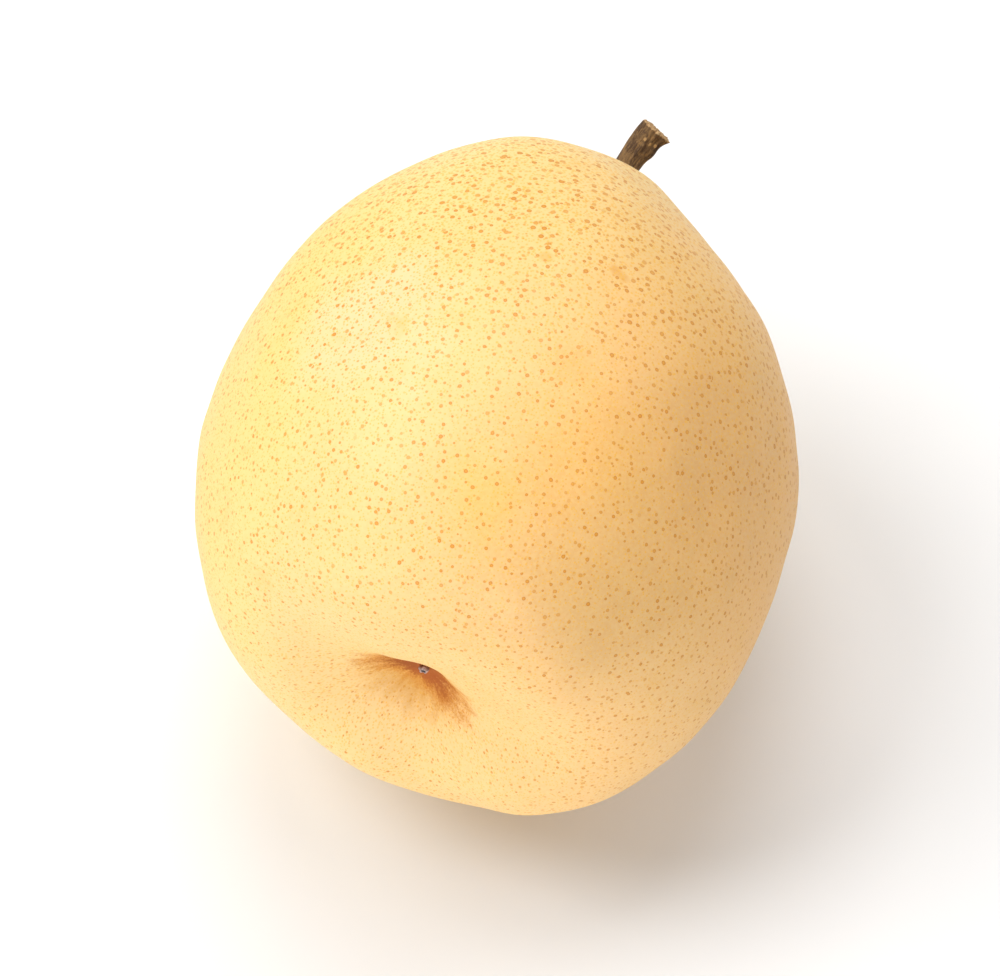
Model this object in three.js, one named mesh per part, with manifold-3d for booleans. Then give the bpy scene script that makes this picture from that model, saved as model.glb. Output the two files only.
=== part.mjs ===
// A pear lying on its side, in three pieces: the fruit, its short woody stem, and the dried
// remnant of the flower at the bottom of the calyx basin. Sizes are in millimetres.
//
// Frame: +Z is up, and Z = 0 is the surface the pear lies on. The origin is the middle of the
// small flat spot under the fruit. +Y runs along the core, from the calyx end to the stem end.
//
// A direction from the middle of the core has two angles, in degrees: polar, counted from the
// stem end, and round, counted about the core from straight up towards +X.

import * as THREE from "three";
import { mergeVertices } from "three/addons/utils/BufferGeometryUtils.js";
import Module from "manifold-3d";

// ---- Driving dimensions ----

const MEAN_RADIUS = 44.25; // middle of the core to the skin, taken over the whole fruit
const CORE_HEIGHT = 40.75; // middle of the core above the surface it lies on
const CORE_Y = 1.7; // middle of the core, past the middle of the flat spot

// The fruit's outline along the core: shares of MEAN_RADIUS for cos(polar), cos(2 polar), ...
const OUTLINE = [-0.048, 0.055, 0.014, -0.01, 0.009];
const LEAN = -0.038; // share of MEAN_RADIUS by which the stem end leans towards +X

// Where the fruit swells or sinks: its middle, how far it stands out, and how wide it spreads.
const SWELLS = [
  { name: "shoulder by the stem", polar: 14, round: 15, height: 1.9, spread: 12 },
  { name: "low shoulder", polar: 30, round: 50, height: -1.2, spread: 20 },
  { name: "high shoulder", polar: 35, round: -25, height: 2.2, spread: 22 },
  { name: "flat cheek", polar: 60, round: 85, height: -0.4, spread: 22 },
  { name: "full cheek", polar: 100, round: -85, height: 0.3, spread: 22 },
  { name: "flat hip", polar: 125, round: -100, height: -0.3, spread: 22 },
  { name: "low hip", polar: 140, round: 135, height: 1.2, spread: 22 },
  { name: "brow of the basin", polar: 150, round: 10, height: 1.8, spread: 20 },
  { name: "dip beside the basin", polar: 145, round: 75, height: -2.1, spread: 16 },
  { name: "resting cheek", polar: 105, round: 180, height: -0.5, spread: 16 },
];

// The calyx basin: a wide bowl with a narrower pit in it, both with five soft ribs. The bowl
// opens wider upwards and towards +X.
const BOWL = { depth: 11, spread: 23, power: 2.8, openUp: 0.2, openSide: 0.08 };
const PIT = { depth: 2.4, spread: 10.5, power: 3.5 };
const RIBS = { count: 5, share: 0.075, round: 21 };

// The hollow that the stem grows from.
const STEM_HOLLOW = { depth: 5, spread: 10, power: 2 };

// The stem, in the core's own coordinates. Its foot stands a hair clear of the hollow's floor.
const STEM_PATH = [
  [-0.5, 42.1, 0],
  [-1.8, 48.5, -0.2],
  [-0.9, 53.2, 1.3],
  [1.6, 57.5, 3.8],
];
const STEM_RADIUS = 1.65;
const STEM_FLARE = 0.5; // how much wider the cut end is
const STEM_FOOT = 0.3; // how much wider its foot is
const STEM_GRAIN = 0.1; // depth of the ridges along it
const STEM_RIDGES = 5;

// The dried flower remnant: a low five-pointed knob with a sunken middle, a little off the core.
const REMNANT = { radius: 0.95, height: 1.4, x: 0.8, z: 1, points: 5, pointShare: 0.2, sunken: 0.45 };
const REMNANT_GAP = 0.6; // between it and the deepest point of the pit

// ---- Mesh fineness ----

const FRUIT_COLUMNS = 64;
const FRUIT_ROWS = 54;
const POLE_CROWDING = 0.25; // draws rows towards the two ends, where the hollows are
const STEM_COLUMNS = 20;
const STEM_ROWS = 16;
const REMNANT_COLUMNS = 20;
const REMNANT_ROWS = 10;

const { cos, sin, exp, acos, PI } = Math;
const radians = THREE.MathUtils.degToRad;

// ---- Helpers ----

function direction(polar, round) {
  return new THREE.Vector3(sin(polar) * sin(round), cos(polar), sin(polar) * cos(round));
}

// A bell that is 1 at 0 and falls away; power 2 is the usual one, and a lower power is pointed.
function bell(share, power = 2) {
  return exp(-(share ** power));
}

// Moves every vertex of a geometry to where place() says, and leaves only positions in it.
function reshape(geometry, place) {
  geometry.deleteAttribute("normal");
  geometry.deleteAttribute("uv");
  const position = geometry.getAttribute("position");
  const point = new THREE.Vector3();
  for (let i = 0; i < position.count; i++) {
    point.copy(place(point.fromBufferAttribute(position, i)));
    position.setXYZ(i, point.x, point.y, point.z);
  }
  return mergeVertices(geometry, 1e-4);
}

function mesh(name, geometry, colour, roughness) {
  geometry.computeVertexNormals();
  const material = new THREE.MeshStandardMaterial({ color: colour, roughness, metalness: 0 });
  const made = new THREE.Mesh(geometry, material);
  made.name = name;
  return made;
}

// ---- Fruit ----

function basinDepth(polar, round) {
  const ribs = RIBS.share * cos(RIBS.count * (round - radians(RIBS.round)));
  const wider = ribs + BOWL.openUp * cos(round) + BOWL.openSide * sin(round);
  const bowlShare = (PI - polar) / radians(BOWL.spread);
  const pitShare = (PI - polar) / radians(PIT.spread);
  const bowl = BOWL.depth * bell(bowlShare / (1 + wider * Math.min(bowlShare, 1)), BOWL.power);
  return bowl + PIT.depth * bell(pitShare / (1 + ribs), PIT.power);
}

// Distance from the middle of the core to the skin, in the given direction (radians).
function skinRadius(polar, round) {
  const outline = OUTLINE.reduce((sum, share, k) => sum + share * cos((k + 1) * polar), 1);
  const lean = LEAN * sin(polar) * cos(polar) * sin(round);
  let r = MEAN_RADIUS * (outline + lean);
  const towards = direction(polar, round);
  for (const swell of SWELLS) {
    const middle = direction(radians(swell.polar), radians(swell.round));
    const apart = acos(THREE.MathUtils.clamp(towards.dot(middle), -1, 1));
    r += swell.height * bell(apart / radians(swell.spread));
  }
  r -= basinDepth(polar, round);
  r -= STEM_HOLLOW.depth * bell(polar / radians(STEM_HOLLOW.spread), STEM_HOLLOW.power);
  return r;
}

// The skin as a sphere's grid with its poles on the core, each vertex moved out to the skin.
function fruitSkin() {
  return reshape(new THREE.SphereGeometry(1, FRUIT_COLUMNS, FRUIT_ROWS), (p) => {
    const even = acos(THREE.MathUtils.clamp(p.y, -1, 1));
    const polar = even - POLE_CROWDING * sin(2 * even);
    const round = Math.atan2(p.x, p.z);
    return direction(polar, round).multiplyScalar(skinRadius(polar, round));
  });
}

const wasm = await Module();
wasm.setup();

function solidOf(geometry) {
  return new wasm.Manifold(
    new wasm.Mesh({
      numProp: 3,
      vertProperties: geometry.getAttribute("position").array,
      triVerts: new Uint32Array(geometry.index.array),
    }),
  );
}

function geometryOf(solid) {
  const { vertProperties, triVerts } = solid.getMesh();
  return new THREE.BufferGeometry()
    .setAttribute("position", new THREE.BufferAttribute(vertProperties, 3))
    .setIndex(new THREE.BufferAttribute(triVerts, 1));
}

// The skin with the part below the resting surface cut away, which leaves the flat spot.
function fruitGeometry() {
  const side = 3 * MEAN_RADIUS;
  const below = new THREE.BoxGeometry(side, side, side);
  below.translate(0, 0, -CORE_HEIGHT - side / 2);
  const cutter = reshape(below, (p) => p);
  return geometryOf(solidOf(fruitSkin()).subtract(solidOf(cutter)));
}

// ---- Stem ----

function stemRadius(along, round) {
  const flare = STEM_FLARE * along ** 3;
  const foot = STEM_FOOT * (1 - along) ** 3;
  return STEM_RADIUS + flare + foot + STEM_GRAIN * cos(STEM_RIDGES * round + 3 * along);
}

// A closed cylinder bent along the stem's path. Its rings stay square to the path.
function stemGeometry() {
  const path = new THREE.CubicBezierCurve3(...STEM_PATH.map((p) => new THREE.Vector3(...p)));
  const cylinder = new THREE.CylinderGeometry(1, 1, 1, STEM_COLUMNS, STEM_ROWS);
  const upright = new THREE.Vector3(0, 0, 1);
  return reshape(cylinder, (p) => {
    const along = THREE.MathUtils.clamp(p.y + 0.5, 0, 1);
    const tangent = path.getTangent(along);
    const side = new THREE.Vector3().crossVectors(tangent, upright).normalize();
    const front = new THREE.Vector3().crossVectors(side, tangent);
    const round = Math.atan2(p.x, p.z);
    const out = Math.hypot(p.x, p.z) * stemRadius(along, round);
    return path
      .getPoint(along)
      .addScaledVector(side, out * sin(round))
      .addScaledVector(front, out * cos(round));
  });
}

// ---- Dried flower remnant ----

function remnantGeometry() {
  const floor = skinRadius(PI, 0);
  const sphere = new THREE.SphereGeometry(1, REMNANT_COLUMNS, REMNANT_ROWS);
  return reshape(sphere, (p) => {
    const round = Math.atan2(p.x, p.z);
    const share = Math.hypot(p.x, p.z);
    const points = 1 + REMNANT.pointShare * cos(REMNANT.points * round) * share;
    const r = REMNANT.radius * share * points;
    const sunken = p.y < 0 ? REMNANT.sunken * bell(share / 0.5) : 0;
    const y = (REMNANT.height / 2) * (p.y + sunken - 1) - REMNANT_GAP - floor;
    return new THREE.Vector3(REMNANT.x + r * sin(round), y, REMNANT.z + r * cos(round));
  });
}

// ---- The pear ----

const core = new THREE.Group();
core.position.set(0, CORE_Y, CORE_HEIGHT);
core.add(
  mesh("fruit", fruitGeometry(), 0xf3d68c, 0.45),
  mesh("stem", stemGeometry(), 0x6b5236, 0.8),
  mesh("flower_remnant", remnantGeometry(), 0x6f5a4c, 0.85),
);

const pear = new THREE.Group();
pear.add(core);

export default pear;
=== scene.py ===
"""A round yellow pear lying on its side, seen from above and a little from its calyx end."""

import math

import bpy
import numpy as np
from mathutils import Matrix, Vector


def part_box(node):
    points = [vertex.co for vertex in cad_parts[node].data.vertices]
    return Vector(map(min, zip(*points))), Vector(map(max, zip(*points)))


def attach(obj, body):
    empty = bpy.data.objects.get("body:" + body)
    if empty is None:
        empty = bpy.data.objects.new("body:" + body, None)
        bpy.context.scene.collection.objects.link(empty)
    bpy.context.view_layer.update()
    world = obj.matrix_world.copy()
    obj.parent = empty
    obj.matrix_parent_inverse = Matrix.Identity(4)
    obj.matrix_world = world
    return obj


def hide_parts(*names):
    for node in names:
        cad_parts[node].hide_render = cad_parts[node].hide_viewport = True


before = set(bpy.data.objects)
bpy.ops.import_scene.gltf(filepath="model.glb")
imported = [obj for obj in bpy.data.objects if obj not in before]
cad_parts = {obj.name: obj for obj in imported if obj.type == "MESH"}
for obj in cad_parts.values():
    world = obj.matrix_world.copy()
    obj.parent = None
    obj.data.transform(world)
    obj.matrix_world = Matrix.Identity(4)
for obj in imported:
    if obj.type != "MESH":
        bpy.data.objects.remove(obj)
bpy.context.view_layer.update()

MM = 0.001
TAU = 2 * math.pi


# ---- Shapes: the fruit's driving dimensions, in millimetres and degrees ----
#
# A direction from the middle of the core has two angles: polar, counted from the stem end, and
# round, counted about the core from straight up towards +X.

MEAN_RADIUS = 44.25
OUTLINE = (-0.048, 0.055, 0.014, -0.01, 0.009)  # shares of the radius for cos(k * polar)
LEAN = -0.038  # the stem end leans towards +X

# Where the fruit swells or sinks: polar and round of its middle, height, spread.
SWELLS = {
    "shoulder by the stem": (14, 15, 1.9, 12),
    "low shoulder": (30, 50, -1.2, 20),
    "high shoulder": (35, -25, 2.2, 22),
    "flat cheek": (60, 85, -0.4, 22),
    "full cheek": (100, -85, 0.3, 22),
    "flat hip": (125, -100, -0.3, 22),
    "low hip": (140, 135, 1.2, 22),
    "brow of the basin": (150, 10, 1.8, 20),
    "dip beside the basin": (145, 75, -2.1, 16),
    "resting cheek": (105, 180, -0.5, 16),
}

BOWL_DEPTH, BOWL_SPREAD, BOWL_POWER = 11.0, 23, 2.8
BOWL_OPEN_UP, BOWL_OPEN_SIDE = 0.2, 0.08
PIT_DEPTH, PIT_SPREAD, PIT_POWER = 2.4, 10.5, 3.5
RIBS, RIB_SHARE, RIB_ROUND = 5, 0.075, 21
HOLLOW_DEPTH, HOLLOW_SPREAD = 5, 10
LUMPS = ((0.16, 24, 3), (0.05, 9, 4))  # height, width and seed of the skin's soft lumps
FLAT_SPOT_EDGE = 0.12  # how softly the flat spot under the fruit rounds into the skin

FRUIT_ROWS, FRUIT_COLUMNS = 300, 320
POLE_CROWDING = 0.25

# The stem, in the core's own coordinates.
STEM_PATH = ((-0.5, 40.1, 0), (-1.8, 48.5, -0.2), (-0.9, 53.2, 1.3), (1.6, 57.5, 3.8))
STEM_LENGTH = math.dist(STEM_PATH[0], STEM_PATH[3])
STEM_RADIUS = 1.65
STEM_FLARE, STEM_FOOT = 0.5, 0.3  # how much wider the cut end and the foot are
STEM_RIDGES = ((0.07, 1.5, 11), (0.04, 0.55, 12))  # height, width and seed
STEM_SPUR = 0.85  # how far the rim runs out on the +X side
STEM_KNUCKLE, STEM_SHOULDER = 0.42, 0.2  # swellings on the +X side and on the -X side
STEM_WOOD_PROUD = 0.36  # how far the cut wood stands out of the bark
STEM_ROWS, STEM_COLUMNS = 150, 120

# Pale pores on the bark: round, and how far back from the cut.
STEM_PORES = ((16, 2.1), (47, 2.2), (70, 1.85))

REMNANT_RADIUS, REMNANT_HEIGHT = 0.68, 1.1
REMNANT_POINTS, REMNANT_POINT_SHARE = 5, 0.2
REMNANT_SUNKEN = 0.9  # depth of its middle, as a share of half its height
REMNANT_X, REMNANT_Y, REMNANT_Z = 0.8, 0.15, 1.0  # from the calyx pole; +Y goes into the skin


def bell(share, power=2.0):
    """1 at 0 and falling away: exp(-|share| ** power)."""
    return np.exp(-(np.abs(share) ** power))


def direction(polar, around):
    """The unit vector at these two angles, in radians."""
    return np.stack(
        [np.sin(polar) * np.sin(around), np.cos(polar), np.sin(polar) * np.cos(around)], axis=-1
    )


def ripple(points, wavelength, seed, count=16):
    """A smooth random field of about unit size: a sum of cosine waves in seeded directions."""
    rng = np.random.default_rng(seed)
    ways = rng.normal(size=(count, 3))
    ways /= np.linalg.norm(ways, axis=1, keepdims=True)
    ways *= TAU / (wavelength * rng.uniform(0.75, 1.35, (count, 1)))
    phases = rng.uniform(0, TAU, count)
    return np.cos(points @ ways.T + phases).sum(axis=-1) * math.sqrt(2 / count)


def basin_depth(polar, around):
    """The calyx basin: a wide bowl and a narrow pit in it, both bells about the calyx pole whose
    spread swells with five ribs; the bowl opens wider upwards and towards +X."""
    off = np.pi - polar
    ribs = RIB_SHARE * np.cos(RIBS * (around - math.radians(RIB_ROUND)))
    wider = ribs + BOWL_OPEN_UP * np.cos(around) + BOWL_OPEN_SIDE * np.sin(around)
    bowl_share = off / math.radians(BOWL_SPREAD)
    pit_share = off / math.radians(PIT_SPREAD)
    bowl = BOWL_DEPTH * bell(bowl_share / (1 + wider * np.minimum(bowl_share, 1)), BOWL_POWER)
    pit = PIT_DEPTH * bell(pit_share / (1 + ribs), PIT_POWER)
    return bowl + pit


def skin_radius(polar, around):
    """Distance from the middle of the core to the skin: the outline's cosines and the lean, plus a
    bell for each swell, less the calyx basin and the bell of the stem's hollow."""
    outline = 1 + sum(s * np.cos((k + 1) * polar) for k, s in enumerate(OUTLINE))
    lean = LEAN * np.sin(polar) * np.cos(polar) * np.sin(around)
    radius = MEAN_RADIUS * (outline + lean)
    towards = direction(polar, around)
    for swell_polar, swell_round, height, spread in SWELLS.values():
        middle = direction(math.radians(swell_polar), math.radians(swell_round))
        apart = np.arccos(np.clip(towards @ middle, -1, 1))
        radius += height * bell(apart / math.radians(spread))
    radius -= basin_depth(polar, around)
    radius -= HOLLOW_DEPTH * bell(polar / math.radians(HOLLOW_SPREAD))
    return radius


def fruit_points():
    """The skin as a grid, each point its direction times the skin's radius and soft lumps. Rows
    run from the stem pole to the calyx pole and crowd towards both."""
    even = np.linspace(0, np.pi, FRUIT_ROWS + 1)
    polar = even - POLE_CROWDING * np.sin(2 * even)
    around = np.linspace(0, TAU, FRUIT_COLUMNS, endpoint=False)
    polar, around = np.meshgrid(polar, around, indexing="ij")
    towards = direction(polar, around)
    radius = skin_radius(polar, around)
    points = towards * radius[..., None]
    lumps = sum(height * ripple(points, width, seed) for height, width, seed in LUMPS)
    return points + towards * lumps[..., None]


def stem_grid():
    """Two parameters of the stem's grid: along runs from 0 at the foot to 1 at the cut, and share
    from 0 in the middle to 1 on the bark. The first rows are the foot, the last the cut face."""
    foot = np.linspace(0, 1, 8)[:-1]
    face = np.linspace(1, 0, 24)[1:]
    along = np.concatenate([0 * foot, np.linspace(0, 1, STEM_ROWS), 1 + 0 * face])
    share = np.concatenate([foot, np.ones(STEM_ROWS), face])
    around = np.linspace(0, TAU, STEM_COLUMNS, endpoint=False)
    return along[:, None], share[:, None], around[None, :]


def stem_points():
    """A tube carried along a cubic curve, with its rings square to it. Its radius grows with the
    cube of the way to either end, and has lengthwise ridges, a spur that rises with a high power
    of the way to the cut, and a bell for a knuckle and a shoulder. The cut face stands proud by 1
    less a power of the way out, and is torn by fibres."""
    along, share, around = stem_grid()
    a, b, c, d = np.array(STEM_PATH, float)
    t, u = along, 1 - along
    middle = u**3 * a + 3 * u**2 * t * b + 3 * u * t**2 * c + t**3 * d
    tangent = u**2 * (b - a) + 2 * u * t * (c - b) + t**2 * (d - c)
    tangent /= np.linalg.norm(tangent, axis=1, keepdims=True)
    side = np.cross(tangent, (0.0, 0.0, 1.0))
    side /= np.linalg.norm(side, axis=1, keepdims=True)
    front = np.cross(side, tangent)
    radius = STEM_RADIUS + STEM_FLARE * t**3 + STEM_FOOT * u**3
    grain_place = np.stack(
        [2.2 * np.cos(around) + 0 * t, 2.2 * np.sin(around) + 0 * t, 2.4 * t + 0 * around], axis=-1
    )
    ridges = sum(height * ripple(grain_place, width, seed) for height, width, seed in STEM_RIDGES)
    to_side = (around - math.pi / 2 + math.pi) % TAU - math.pi
    spur = STEM_SPUR * bell(to_side / 0.42) * along**15
    knuckle = STEM_KNUCKLE * bell(to_side / 0.8) * bell((along - 0.81) / 0.08)
    shoulder = STEM_SHOULDER * bell((around - 1.5 * math.pi) / 0.9) * bell((along - 0.86) / 0.12)
    out = share * (radius + ridges + spur + knuckle + shoulder)
    fibres = ripple(np.stack([out * np.sin(around), out * np.cos(around), 0 * out], axis=-1), 0.6, 13)
    proud = STEM_WOOD_PROUD * (1 - share**5)
    torn = (0.07 * fibres + proud + 0.2 * bell(to_side / 0.7) * share) * along**40
    return (
        middle[:, None, :]
        + out[..., None] * np.sin(around)[..., None] * side[:, None, :]
        + out[..., None] * np.cos(around)[..., None] * front[:, None, :]
        + torn[..., None] * tangent[:, None, :]
    )


def stem_attributes():
    """For the bark: a place that wraps round the stem and is stretched along it, and how far a
    point is in on the cut face."""
    along, share, around = stem_grid()
    wrapped = [STEM_RADIUS * np.sin(around) + 0 * along, STEM_RADIUS * np.cos(around) + 0 * along]
    bark = np.stack([*wrapped, STEM_LENGTH * along + 0 * around], axis=-1)
    cut = np.where(along >= 1, 1 - share, -(1 - along) * STEM_LENGTH) + 0 * around
    return {"bark": bark, "cut": cut}


def remnant_grid():
    """Two parameters of a ball's grid, v from its back to its front and around, with sin(v), which
    is the way out from its axis."""
    v = np.linspace(0, np.pi, 41)[:, None]
    around = np.linspace(0, TAU, 80, endpoint=False)[None, :]
    return v, around, np.sin(v) * np.ones_like(around)


def remnant_points():
    """A low ball of five shrivelled points: its radius swells with cos(5 around), a bell sinks the
    middle of its front, and a ripple crumples it all. Its back is just inside the calyx pole's skin."""
    v, around, out = remnant_grid()
    r = REMNANT_RADIUS * out * (1 + REMNANT_POINT_SHARE * np.cos(REMNANT_POINTS * around) * out)
    sunken = np.where(v > np.pi / 2, REMNANT_SUNKEN * bell(out / 0.45), 0)
    y = REMNANT_HEIGHT / 2 * (np.cos(v) + sunken - 1)
    points = np.stack([r * np.sin(around), y, r * np.cos(around)], axis=-1)
    points = points + 0.05 * ripple(points, 0.8, 21)[..., None] * points
    return points + (REMNANT_X, REMNANT_Y - skin_radius(math.pi, 0.0), REMNANT_Z)


def remnant_attributes():
    """How deep a point is in the sunken middle of the front: a bell of the way out. The material
    turns it into painted shade.
    """
    v, _, out = remnant_grid()
    return {"cleft": np.where(v > np.pi / 2, bell(out / 0.55), 0)}


# ---- Placing the shapes in the frame ----

def core_place(points):
    """Where the middle of the core is, in millimetres: there the grid's box meets the CAD's."""
    low, high = (np.array(corner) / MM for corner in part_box("fruit"))
    grid_low, grid_high = points.min(axis=(0, 1)), points.max(axis=(0, 1))
    place = (low + high - grid_low - grid_high) / 2
    place[2] = high[2] - grid_high[2]
    return place


def rest_on_surface(points):
    """Presses what would reach below the resting surface up to it. Height h becomes half of
    h + sqrt(h * h + edge * edge), which is 0 far below the surface and h far above it."""
    pressed = points.copy()
    height = points[..., 2]
    pressed[..., 2] = (height + np.sqrt(height**2 + FLAT_SPOT_EDGE**2)) / 2
    return pressed


def without_repeats(grid):
    """The grid as one list of rows, with one entry for each end row, where all columns meet."""
    return np.concatenate([grid[0, :1], grid[1:-1].reshape(-1, *grid.shape[2:]), grid[-1, :1]])


def closed_grid(name, points, attributes):
    """A mesh from a grid whose columns meet and whose first and last rows are one point each."""
    rows, columns = points.shape[0] - 2, points.shape[1]
    vertices = without_repeats(points) * MM
    ring = np.arange(rows * columns).reshape(rows, columns) + 1
    beside = np.roll(ring, -1, axis=1)
    last = len(vertices) - 1
    quads = np.stack([ring[:-1], ring[1:], beside[1:], beside[:-1]], axis=-1).reshape(-1, 4)
    first_fan = np.stack([np.zeros(columns, int), ring[0], beside[0]], axis=-1)
    last_fan = np.stack([np.full(columns, last), beside[-1], ring[-1]], axis=-1)
    mesh = bpy.data.meshes.new(name)
    mesh.from_pydata(vertices.tolist(), [], first_fan.tolist() + quads.tolist() + last_fan.tolist())
    for key, grid in attributes.items():
        values = without_repeats(grid)
        kind, field = ("FLOAT", "value") if values.ndim == 1 else ("FLOAT_VECTOR", "vector")
        mesh.attributes.new(key, kind, "POINT").data.foreach_set(field, values.ravel())
    mesh.shade_smooth()
    return mesh


def add_piece(name, points, node, material, attributes=None):
    """Adds a finished piece that stands for a CAD node and rides on the pear's one body."""
    piece = bpy.data.objects.new(name, closed_grid(name, points, attributes or {}))
    bpy.context.scene.collection.objects.link(piece)
    piece.data.materials.append(material)
    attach(piece, "root")
    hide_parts(node)


# ---- Materials ----

def rgb(red, green, blue):
    """An opaque colour, in linear light."""
    return (red, green, blue, 1.0)


SKIN_YELLOW, SKIN_ORANGE = rgb(0.86, 0.635, 0.25), rgb(0.87, 0.485, 0.165)
CALYX_END_ORANGE, FAR_SIDE_YELLOW = rgb(0.87, 0.56, 0.235), rgb(0.86, 0.62, 0.185)
MOTTLE_TAN, MOTTLE_PALE = rgb(0.84, 0.47, 0.12), rgb(0.9, 0.72, 0.35)
BASIN_TAN = rgb(0.66, 0.30, 0.02)
# The darkest russet is painted shade, for the shade under the pit's upper lip.
RUSSET, RUSSET_DEEP, RUSSET_IN_PAINTED_SHADE = rgb(0.61, 0.20, 0.01), rgb(0.35, 0.06, 0.0), rgb(0.24, 0.035, 0.0)

BARK_DARK, BARK_LIGHT = rgb(0.075, 0.034, 0.010), rgb(0.18, 0.098, 0.034)
BARK_LINE, BARK_BLOOM, BARK_CRACK = rgb(0.33, 0.185, 0.062), rgb(0.42, 0.275, 0.125), rgb(0.035, 0.02, 0.01)
BARK_PORE = rgb(0.50, 0.29, 0.105)
WOOD_DARK, WOOD_PALE = rgb(0.33, 0.18, 0.07), rgb(0.56, 0.36, 0.165)

REMNANT_DARK, REMNANT_PALE = rgb(0.30, 0.19, 0.16), rgb(0.58, 0.46, 0.42)
# The near-black of the remnant's cleft is painted shade in its sunken middle.
REMNANT_CLEFT_PAINTED_SHADE = rgb(0.035, 0.03, 0.04)
FLOOR_WHITE = rgb(0.9, 0.9, 0.9)

# Specks and lenticels, from fine to large: spacing and reach of the balls they are cut from,
# radius, how much they shrink in the calyx basin, share of the balls used (above 1 is all of
# them), strength, colour in the middle and at the rim.
LENTICELS = (
    (0.56, 0.28, 0.15, 0.1, 1.1, 0.85, rgb(0.88, 0.49, 0.07), rgb(0.86, 0.44, 0.05)),
    (1.15, 0.45, 0.2, 0.2, 0.55, 0.8, rgb(0.80, 0.37, 0.045), rgb(0.74, 0.30, 0.032)),
    (1.52, 0.75, 0.29, 0.45, 1.1, 1.0, rgb(0.74, 0.32, 0.04), rgb(0.62, 0.21, 0.02)),
)

# Patches and marks of the skin, and painted light: middle in the core's coordinates, radius,
# strength, colour. The first is a painted highlight, a pale patch where the key light falls; the
# second and third are painted shade, darker tan on the +X side away from the key light; the
# fourth is a yellow patch towards the stem end, and the last six are orange blotches and smudges.
SKIN_PATCHES_AND_PAINTED_LIGHT = (
    # painted highlight: a pale patch where the key light falls most squarely
    ((-17, -6, 37), 13, 0.35, rgb(0.88, 0.66, 0.48)),
    # painted shade: darker tan on the +X side, away from the key light (this and the next)
    ((21, -27, 30), 18, 0.45, rgb(0.72, 0.40, 0.13)),
    ((30, -2, 27), 15, 0.4, rgb(0.72, 0.40, 0.15)),
    ((0, 22, 36), 12, 0.3, rgb(0.87, 0.62, 0.26)),
    ((16, -14.5, 37.4), 10, 0.4, rgb(0.86, 0.46, 0.11)),
    ((5.6, -25, 38), 7, 0.5, rgb(0.88, 0.50, 0.10)),
    ((10, -4, 40), 4, 0.45, rgb(0.84, 0.42, 0.09)),
    ((10.7, 12.7, 37.8), 1.0, 0.75, rgb(0.80, 0.36, 0.05)),
    ((12.0, 12.2, 37.6), 0.8, 0.6, rgb(0.80, 0.36, 0.05)),
    ((1.7, 10.3, 40), 0.9, 0.6, rgb(0.80, 0.40, 0.07)),
)


class Wire:
    """A node's output that can be used in arithmetic: each operation adds its Math node."""

    def __init__(self, surface, socket):
        self.surface = surface
        self.socket = socket

    def math(self, operation, *others):
        """A Math node on this output and others, which may be plain numbers."""
        sockets = dict(enumerate((self, *others)))
        return self.surface.add("ShaderNodeMath", {"operation": operation}, sockets)

    def __add__(self, other):
        return self.math("ADD", other)

    def __sub__(self, other):
        return self.math("SUBTRACT", other)

    def __rsub__(self, other):
        return self.surface.add("ShaderNodeMath", {"operation": "SUBTRACT"}, {0: other, 1: self})

    def __mul__(self, other):
        return self.math("MULTIPLY", other)

    def __truediv__(self, other):
        return self.math("DIVIDE", other)

    def __pow__(self, other):
        return self.math("POWER", other)

    __radd__ = __add__
    __rmul__ = __mul__


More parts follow.
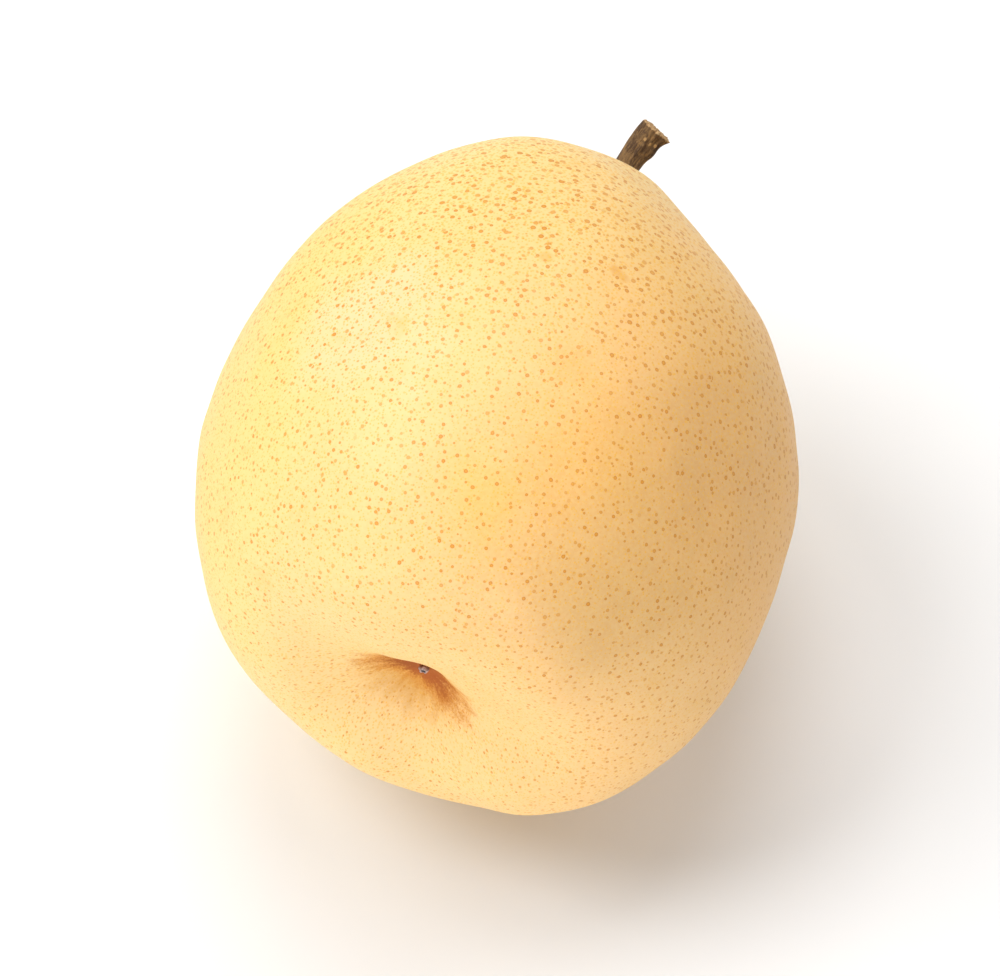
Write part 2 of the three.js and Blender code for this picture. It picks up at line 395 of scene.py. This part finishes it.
class Surface:
    """A material with one Principled BSDF, and the ways to add nodes to it."""

    def __init__(self, name, **uniform):
        self.material = bpy.data.materials.new(name)
        self.material.use_nodes = True
        self.tree = self.material.node_tree
        self.shader = self.tree.nodes["Principled BSDF"]
        for socket, value in uniform.items():
            self.shader.inputs[socket.replace("_", " ")].default_value = value

    def join(self, value, socket):
        """Links a wire to a socket, or sets the socket to a plain value."""
        if isinstance(value, Wire):
            self.tree.links.new(value.socket, socket)
        else:
            socket.default_value = value

    def add(self, kind, settings=None, sockets=None, output=0):
        """Adds a node: its settings first, then the values or links of its sockets."""
        node = self.tree.nodes.new(kind)
        for name, value in (settings or {}).items():
            setattr(node, name, value)
        for name, value in (sockets or {}).items():
            self.join(value, node.inputs[name])
        return Wire(self, node.outputs[output])

    def vector(self, operation, *values, output=0):
        """A Vector Math node; output 1 is its number, for a length, distance or dot product."""
        settings = {"operation": operation}
        return self.add("ShaderNodeVectorMath", settings, dict(enumerate(values)), output)

    def split(self, vector):
        """The three numbers of a vector."""
        first = self.add("ShaderNodeSeparateXYZ", None, {"Vector": vector})
        return [Wire(self, socket) for socket in first.socket.node.outputs]

    def join3(self, x, y, z):
        """The vector of three numbers."""
        return self.add("ShaderNodeCombineXYZ", None, {"X": x, "Y": y, "Z": z})

    def attribute(self, name, output=2):
        """A piece's own attribute; output 2 is a number, and output 1 is a vector."""
        return self.add("ShaderNodeAttribute", {"attribute_name": name}, output=output)

    def step(self, value, low, high):
        """0 below low, 1 above high and smooth between; low above high turns it round."""
        settings = {"interpolation_type": "SMOOTHSTEP"}
        return self.add(
            "ShaderNodeMapRange", settings, {"Value": value, "From Min": low, "From Max": high}
        )

    def mix(self, factor, first, second):
        """The first colour at factor 0, the second at factor 1."""
        sockets = {0: factor, 6: first, 7: second}
        return self.add("ShaderNodeMix", {"data_type": "RGBA"}, sockets, output=2)

    def noise(self, place, size, detail=2.0, roughness=0.5):
        """Noise from 0 to 1 with features of about this size."""
        sockets = {"Vector": place, "Scale": 1 / size, "Detail": detail, "Roughness": roughness}
        return self.add("ShaderNodeTexNoise", None, sockets)

    def place(self, middle, stretch=(1, 1, 1)):
        """Object coordinates in millimetres from this point, stretched along each axis."""
        here = self.add("ShaderNodeTexCoord", output=3)
        scale = tuple(s / MM for s in stretch)
        location = tuple(-m * s for m, s in zip(middle, stretch))
        return self.add(
            "ShaderNodeMapping", None, {"Vector": here, "Location": location, "Scale": scale}
        )

    def finish(self, colour, roughness=None, height=None, bump_distance=0.1 * MM, bump_strength=1.0):
        """Joins up the shader; the height, if there is one, becomes a bump."""
        self.join(colour, self.shader.inputs["Base Color"])
        if roughness is not None:
            self.join(roughness, self.shader.inputs["Roughness"])
        if height is not None:
            sockets = {"Height": height, "Distance": bump_distance, "Strength": bump_strength}
            self.join(self.add("ShaderNodeBump", None, sockets), self.shader.inputs["Normal"])
        return self.material


def spots(surface, place, normal, spacing, reach):
    """Round spots on a skin, from balls scattered in space: those whose middle is within reach of
    the skin count. Gives the square of the way along the skin from the nearest middle, the part of
    that way that runs along the core, whether the ball counts, and two random numbers of it."""
    sockets = {"Vector": place, "Scale": 1 / spacing, "Randomness": 0.9}
    colour = surface.add("ShaderNodeTexVoronoi", {"feature": "F1"}, sockets, output=1)
    middle = Wire(surface, colour.socket.node.outputs["Position"])
    chances = surface.add("ShaderNodeSeparateColor", None, {"Color": colour})
    chance, tone = [Wire(surface, socket) for socket in chances.socket.node.outputs[:2]]
    away = surface.vector("SUBTRACT", place, middle)
    deep = surface.vector("DOT_PRODUCT", away, normal, output=1)
    far = surface.vector("DOT_PRODUCT", away, away, output=1)
    normal_y = surface.split(normal)[1]
    steep = (1.02 - normal_y * normal_y) ** 0.5
    along_core = (surface.split(away)[1] - normal_y * deep) / steep
    counts = surface.step(deep.math("ABSOLUTE"), reach, reach * 0.85)
    return far - deep * deep, along_core, counts, chance, tone


def fruit_material(core):
    """Waxy yellow skin that warms towards +X, flecked all over: fine specks, round lenticels with
    a darker rim, and russet streaks that run out of the calyx pit. It also carries painted light:
    a painted highlight on the -X side, painted shade on the +X side and under the pit's upper lip."""
    surface = Surface("waxy_pear_skin", Subsurface_Weight=0.12, IOR=1.45)
    surface.shader.inputs["Subsurface Radius"].default_value = (1.0, 0.6, 0.25)
    surface.shader.inputs["Subsurface Scale"].default_value = 2.0 * MM
    here = surface.place(core)
    normal = surface.add("ShaderNodeTexCoord", output=1)
    x, y, z = surface.split(here)
    broad = surface.noise(here, 26, 2.0)
    patch = surface.noise(here, 7, 3.0, 0.6)
    fine = surface.noise(here, 0.55, 2.0, 0.6)

    # The calyx end: the way out from the core, and the direction round it.
    rho = (x * x + z * z + 0.04) ** 0.5
    across, upright = x / rho, z / rho
    calyx_end = surface.step(y, -18, -30)
    basin = calyx_end * surface.step(rho, 28, 10)

    # Ground colour.
    warm = surface.step(x + 0.35 * z - 0.25 * y + 24 * (broad - 0.5) + 8 * (patch - 0.5), -14, 44)
    colour = surface.mix(warm, SKIN_YELLOW, SKIN_ORANGE)
    to_calyx = surface.step(y + 6 * (broad - 0.5), -10, -32)
    colour = surface.mix(0.65 * to_calyx, colour, CALYX_END_ORANGE)
    far_side = surface.step(x + 6 * (broad - 0.5), -16, -34)
    colour = surface.mix(0.8 * far_side, colour, FAR_SIDE_YELLOW)
    # Patches: the skin's blotches, a painted highlight and patches of painted shade.
    for middle, radius, strength, tint in SKIN_PATCHES_AND_PAINTED_LIGHT:
        away = surface.vector("DISTANCE", here, middle, output=1)
        amount = surface.step(away / radius + 1.6 * (patch - 0.5), 1.3, 0.2)
        colour = surface.mix(strength * amount, colour, tint)
    mottled = surface.step(patch + 0.5 * broad, 0.84, 1.05)
    colour = surface.mix(0.35 * mottled, colour, MOTTLE_TAN)
    colour = surface.mix(0.16 * surface.step(fine, 0.35, 0.65), colour, MOTTLE_PALE)

    # Fine specks, then small and large lenticels: larger towards the stem, drawn out and fine in
    # the basin.
    wobble = 0.75 + 0.5 * fine
    size = 0.8 + 0.45 * surface.step(y, -20, 38)
    drawn_out = 0.7 * basin
    height = 0.35 * fine
    for spacing, reach, radius, shrink, used, strength, middle_tint, rim_tint in LENTICELS:
        far, along, counts, chance, tone = spots(surface, here, normal, spacing, reach)
        way = (far - drawn_out * along * along).math("MAXIMUM", 0.0) ** 0.5
        share = way * wobble / (size * (1 - shrink * basin) * (0.62 + 0.6 * chance) * radius)
        spot = counts * surface.step(share, 1.15, 0.8) * surface.step(chance, used, used - 0.02)
        rim = surface.step(share, 0.45, 0.85) * (0.3 + 0.7 * tone)
        spot_colour = surface.mix(rim, middle_tint, rim_tint)
        colour = surface.mix(strength * spot * (0.65 + 0.35 * tone), colour, spot_colour)
        height = height + 0.4 * strength * spot

    # Russet: streaks along the ways out of the pit, longest to the lower +X side and to the -X
    # side, on a tan ground. Under the pit's upper lip it also carries painted shade: it reaches
    # further upwards, and turns darkest towards -X.
    ray = surface.join3(5 * across, 5 * upright, 0.32 * rho)
    streak = surface.noise(ray, 1.0, 2.0, 0.5)
    speck = surface.noise(here, 0.3, 2.0, 0.7)
    to_right = (0.97 * across - 0.26 * upright).math("MAXIMUM", 0.0)
    to_left = (0.17 * upright - 0.98 * across).math("MAXIMUM", 0.0)
    # The upward term stretches the russet over the dark band under the upper lip: russet and painted shade.
    reach = 2.9 + 3.8 * to_right * to_right + 2.8 * to_left**4.0 + 1.5 * upright.math("MAXIMUM", 0.0)
    edge = rho / reach + 1.6 * (streak - 0.5) + 1.3 * (speck - 0.5)
    tan = calyx_end * surface.step(rho + 5 * (streak - 0.5) + 3 * (speck - 0.5), 10, 3)
    colour = surface.mix(0.85 * tan, colour, BASIN_TAN)
    russet = calyx_end * surface.step(edge, 1.6, 0.45)
    deep = surface.step(rho / reach + 0.7 * (streak - 0.5) + 0.6 * (speck - 0.5), 1.15, 0.4)
    dark = surface.mix(deep, RUSSET, RUSSET_DEEP)
    # Painted shade: towards -X the deep russet turns darker still, for the shade under the pit's upper lip.
    dark = surface.mix(0.7 * to_left * deep, dark, RUSSET_IN_PAINTED_SHADE)
    colour = surface.mix((0.8 + 0.2 * streak) * russet, colour, dark)
    rough = 0.46 + 0.1 * fine + 0.2 * russet
    return surface.finish(colour, rough, height, 0.05 * MM, 0.5)


def stem_material(core):
    """Olive brown bark with fine lengthwise lines and a grey bloom; the cut face is pale wood."""
    surface = Surface("stem_bark")
    bark = surface.attribute("bark", output=1)
    around_x, around_z, along = surface.split(bark)
    lines = surface.noise(surface.join3(around_x, around_z, 0.16 * along), 0.22, 3.0, 0.6)
    blotch = surface.noise(surface.join3(around_x, around_z, 0.5 * along), 1.1, 3.0, 0.6)
    fleck = surface.noise(bark, 0.28, 3.0, 0.7)
    cut = surface.attribute("cut")
    colour = surface.mix(surface.step(blotch, 0.4, 0.65), BARK_DARK, BARK_LIGHT)
    colour = surface.mix(0.6 * surface.step(lines, 0.45, 0.7), colour, BARK_LINE)
    colour = surface.mix(0.5 * surface.step(fleck, 0.58, 0.75), colour, BARK_BLOOM)
    colour = surface.mix(0.6 * surface.step(fleck, 0.42, 0.3), colour, BARK_CRACK)
    pore = 0.0
    for around, back in STEM_PORES:
        around = math.radians(around)
        middle = (STEM_RADIUS * math.sin(around), STEM_RADIUS * math.cos(around), STEM_LENGTH - back)
        away = surface.vector("SUBTRACT", bark, middle)
        away = surface.vector("MULTIPLY", away, (1.1, 1.1, 0.55))
        far = surface.vector("LENGTH", away, output=1) + 0.25 * (fleck - 0.5)
        pore = surface.step(far, 0.25, 0.13) + pore
    colour = surface.mix(0.85 * pore, colour, BARK_PORE)
    fibres = surface.noise(surface.place(core, (1, 0.3, 1)), 0.18, 2.0, 0.6)
    wood = surface.mix(surface.step(fibres, 0.35, 0.65), WOOD_DARK, WOOD_PALE)
    face = surface.step(cut + 0.3 * (lines - 0.5), -0.22, 0.0)
    colour = surface.mix(face, colour, wood)
    height = lines + 0.5 * fleck - 0.5 * pore
    return surface.finish(colour, 0.7 + 0.2 * blotch, height, 0.12 * MM, 0.8)


def remnant_material(core):
    """Shrivelled grey pink points round a sunken cleft, darkened with painted shade."""
    surface = Surface("dried_flower_remnant")
    here = surface.place(core)
    grain = surface.noise(here, 0.3, 3.0, 0.65)
    cleft = surface.step(surface.attribute("cleft") + 0.4 * (grain - 0.5), 0.25, 0.6)
    colour = surface.mix(surface.step(grain, 0.35, 0.7), REMNANT_DARK, REMNANT_PALE)
    # Painted shade: near-black, the deeper into the sunken cleft.
    colour = surface.mix(cleft, colour, REMNANT_CLEFT_PAINTED_SHADE)
    return surface.finish(colour, 0.7 + 0.2 * grain, grain, 0.1 * MM)


# ---- The pear ----

skin = fruit_points()
core = core_place(skin)
add_piece("fruit_skin", rest_on_surface(skin + core), "fruit", fruit_material(core))
add_piece(
    "woody_stem", stem_points() + core, "stem", stem_material(core), stem_attributes()
)
add_piece(
    "calyx_remnant", remnant_points() + core, "flower_remnant",
    remnant_material(core), remnant_attributes(),
)


# ---- Camera ----

CAMERA_AZIMUTH, CAMERA_ELEVATION = 20.4, 61
CAMERA_DISTANCE = 0.6  # metres from the core
VIEW_WIDTH = 0.14  # metres across the view at the core
CORE_RIGHT, CORE_UP = 0.95 * MM, 3.43 * MM  # where the core lies from the middle of the view


def from_core(azimuth, elevation):
    """The unit vector away from the core: azimuth counts from -Y towards +X, in degrees."""
    azimuth, elevation = math.radians(azimuth), math.radians(elevation)
    return Vector((
        math.sin(azimuth) * math.cos(elevation),
        -math.cos(azimuth) * math.cos(elevation),
        math.sin(elevation),
    ))


back = from_core(CAMERA_AZIMUTH, CAMERA_ELEVATION)
right = Vector((0, 0, 1)).cross(back).normalized()
up = back.cross(right)
aim = Vector(core * MM) - right * CORE_RIGHT - up * CORE_UP

camera = bpy.data.objects.new("camera", bpy.data.cameras.new("camera"))
bpy.context.scene.collection.objects.link(camera)
camera.data.lens = camera.data.sensor_width * CAMERA_DISTANCE / VIEW_WIDTH
camera.data.clip_start = 0.01
camera.location = aim + back * CAMERA_DISTANCE
camera.rotation_euler = back.to_track_quat("Z", "Y").to_euler()
bpy.context.scene.camera = camera


# ---- Floor and light ----

FLOOR_HALF = 2.0  # metres from its middle to an edge
LIGHT_DISTANCE = 0.9  # metres from the core

# Round lights: azimuth, elevation, width in metres, power in watts.
LIGHTS = {
    "key": (-80, 54, 0.6, 5.4),
    "top": (-160, 66, 0.6, 4.4),
    "front": (20, 12, 0.4, 3.7),
    "left": (-27, 12, 0.4, 1.9),
    "back": (152, 36, 0.6, 1.9),
    "right": (98, 12, 0.5, 0.3),
}
WORLD_STRENGTH = 0.1


def add_floor():
    """A square on the resting surface."""
    mesh = bpy.data.meshes.new("floor")
    corners = [(FLOOR_HALF * x, FLOOR_HALF * y, 0) for x, y in ((-1, -1), (1, -1), (1, 1), (-1, 1))]
    mesh.from_pydata(corners, [], [(0, 1, 2, 3)])
    floor = bpy.data.objects.new("floor", mesh)
    bpy.context.scene.collection.objects.link(floor)
    surface = Surface("pale_floor", Roughness=0.9)
    mesh.materials.append(surface.finish(FLOOR_WHITE))


def add_light(name, azimuth, elevation, width, power):
    """A round light that faces the core."""
    data = bpy.data.lights.new(name, "AREA")
    data.shape = "DISK"
    data.size = width
    data.energy = power
    light = bpy.data.objects.new(name, data)
    bpy.context.scene.collection.objects.link(light)
    way = from_core(azimuth, elevation)
    light.location = Vector(core * MM) + way * LIGHT_DISTANCE
    light.rotation_euler = way.to_track_quat("Z", "Y").to_euler()


def add_world():
    """Even white light from all round."""
    world = bpy.data.worlds.new("studio")
    world.use_nodes = True
    background = world.node_tree.nodes["Background"]
    background.inputs["Color"].default_value = (1, 1, 1, 1)
    background.inputs["Strength"].default_value = WORLD_STRENGTH
    bpy.context.scene.world = world


add_floor()
for name, settings in LIGHTS.items():
    add_light(name, *settings)
add_world()
bpy.context.scene.view_settings.view_transform = "Standard"
